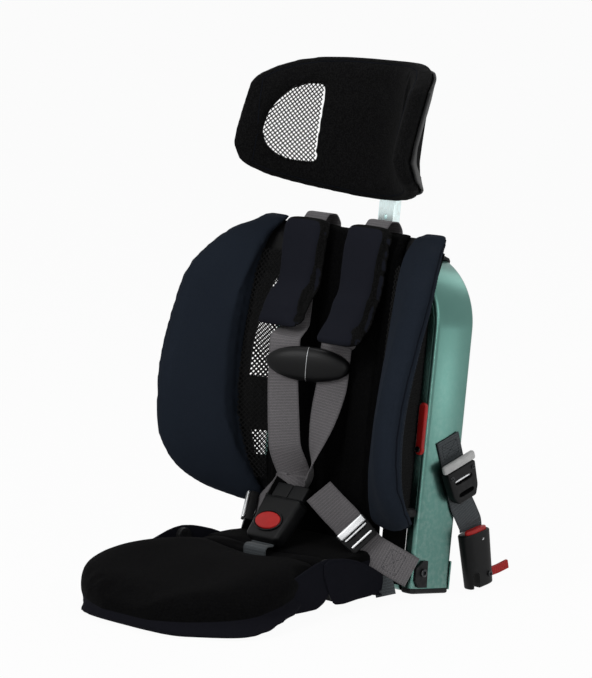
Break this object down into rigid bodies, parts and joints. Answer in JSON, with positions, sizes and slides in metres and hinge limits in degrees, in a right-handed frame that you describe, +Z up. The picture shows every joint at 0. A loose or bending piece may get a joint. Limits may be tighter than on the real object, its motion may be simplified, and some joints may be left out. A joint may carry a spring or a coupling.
{
  "type": "folding child travel seat",
  "caption": "Reclined child travel seat: bent metal frame, winged padded back with net windows, sliding headrest, harness, folding seat, lower anchor straps.",
  "frame": {"origin": "middle of the bounding box in plan, at the floor under the folding seat", "axes": "+Z up, the seat looks along -Y, +X is the child's left"},
  "size_m": [0.4112, 0.4921, 0.6306],
  "materials": {
    "anodised_rail": "satin, green anodised",
    "anodised_mast": "satin, pale green anodised",
    "black_plastic": "fine matt grain",
    "steel": "brushed",
    "red_plastic": "glossy",
    "navy_cloth": "smooth stretch cloth",
    "black_knit": "heathered knit",
    "black_net": "open net",
    "grey_webbing": "woven webbing",
    "dark_webbing": "woven webbing"
  },
  "bodies": {
    "frame": {"top_housing": "black_plastic", "back_shell": "black_plastic", "back_pad": "black_net", "buckle_body": "black_plastic", "crotch_strap": "dark_webbing", "seat_base_rear": "black_plastic", "seat_pad_rear": "navy_cloth", "lower_crossbar": "anodised_rail", "harness_yoke": "steel", "rail_left": "anodised_rail", "rail_right": "anodised_rail", "foot_cap_left": "black_plastic", "foot_cap_right": "black_plastic", "wing_pad_left": "navy_cloth", "wing_pad_right": "navy_cloth", "side_cover_left": "black_knit", "side_cover_right": "black_knit", "back_net_left": "black_net", "back_net_right": "black_net", "shoulder_strap_left": "grey_webbing", "shoulder_strap_right": "grey_webbing", "shoulder_pad_left": "navy_cloth", "shoulder_pad_right": "navy_cloth", "chest_clip_left": "black_plastic", "chest_clip_right": "black_plastic", "buckle_tongue_left": "black_plastic", "buckle_tongue_right": "black_plastic", "hip_strap_left": "grey_webbing", "hip_strap_right": "grey_webbing", "hip_adjuster_left": "black_plastic", "hip_adjuster_right": "black_plastic", "anchor_bracket_left": "black_plastic", "anchor_bracket_right": "black_plastic", "latch_strap_left": "dark_webbing", "latch_strap_right": "dark_webbing", "latch_adjuster_left": "black_plastic", "latch_adjuster_right": "black_plastic", "latch_connector_left": "black_plastic", "latch_connector_right": "black_plastic", "release_tab_left": "red_plastic", "release_tab_right": "red_plastic", "storage_bracket_left": "anodised_rail", "storage_bracket_right": "anodised_rail"},
    "folding_seat": {"seat_base_front": "black_plastic", "seat_pad_front": "navy_cloth"},
    "headrest": {"mast": "anodised_mast", "headrest_shell": "black_plastic", "headrest_pad": "black_knit", "headrest_net_left": "black_net", "headrest_net_right": "black_net"},
    "mast_lock": {"mast_lock_button": "black_plastic"},
    "buckle_release": {"buckle_button": "red_plastic"},
    "fold_lever_left": {"fold_lever_left": "red_plastic"},
    "hip_lever_left": {"hip_lever_left": "steel"},
    "latch_lever_left": {"latch_lever_left": "steel"},
    "latch_release_left": {"latch_button_left": "red_plastic"},
    "fold_lever_right": {"fold_lever_right": "red_plastic"},
    "hip_lever_right": {"hip_lever_right": "steel"},
    "latch_lever_right": {"latch_lever_right": "steel"},
    "latch_release_right": {"latch_button_right": "red_plastic"}
  },
  "joints": [
    {"name": "seat_fold", "type": "hinge", "parent": "frame", "child": "folding_seat", "pos_m": [0, -0.0406, 0.058], "axis": [-1, 0, 0], "range_deg": [0, 78]},
    {"name": "headrest_slide", "type": "slide", "parent": "frame", "child": "headrest", "axis": [0, 0.134, 0.991], "range_m": [-0.018, 0.075]},
    {"name": "mast_lock_press", "type": "slide", "parent": "frame", "child": "mast_lock", "axis": [0, -0.991, 0.134], "range_m": [0, 0.002], "stiffness_N_per_m": 900},
    {"name": "buckle_press", "type": "slide", "parent": "frame", "child": "buckle_release", "axis": [0, 0.7466, -0.6652], "range_m": [0, 0.002], "stiffness_N_per_m": 2500},
    {"name": "fold_lever_turn_left", "type": "hinge", "parent": "frame", "child": "fold_lever_left", "pos_m": [0.1307, 0.10824, 0.1792], "axis": [0, 0.991, -0.134], "range_deg": [0, 25], "stiffness_Nm_per_rad": 0.3},
    {"name": "hip_lever_lift_left", "type": "hinge", "parent": "frame", "child": "hip_lever_left", "pos_m": [0.0878, 0.03043, 0.09309], "axis": [-0.3536, -0.6837, -0.6383], "range_deg": [0, 50], "stiffness_Nm_per_rad": 0.05},
    {"name": "latch_lever_lift_left", "type": "hinge", "parent": "frame", "child": "latch_lever_left", "pos_m": [0.1515, 0.15544, 0.15411], "axis": [0, 0.9598, 0.2807], "range_deg": [0, 55], "stiffness_Nm_per_rad": 0.08},
    {"name": "latch_press_left", "type": "slide", "parent": "frame", "child": "latch_release_left", "axis": [0, 0.1392, -0.9903], "range_m": [0, 0.002], "stiffness_N_per_m": 2500},
    {"name": "fold_lever_turn_right", "type": "hinge", "parent": "frame", "child": "fold_lever_right", "pos_m": [-0.1307, 0.10824, 0.1792], "axis": [0, -0.991, 0.134], "range_deg": [0, 25], "stiffness_Nm_per_rad": 0.3},
    {"name": "hip_lever_lift_right", "type": "hinge", "parent": "frame", "child": "hip_lever_right", "pos_m": [-0.0878, 0.03043, 0.09309], "axis": [-0.44, 0.5938, 0.6737], "range_deg": [0, 50], "stiffness_Nm_per_rad": 0.05},
    {"name": "latch_lever_lift_right", "type": "hinge", "parent": "frame", "child": "latch_lever_right", "pos_m": [-0.1515, 0.15544, 0.15411], "axis": [0, -0.9598, -0.2807], "range_deg": [0, 55], "stiffness_Nm_per_rad": 0.08},
    {"name": "latch_press_right", "type": "slide", "parent": "frame", "child": "latch_release_right", "axis": [0, 0.1392, -0.9903], "range_m": [0, 0.002], "stiffness_N_per_m": 2500}
  ]
}
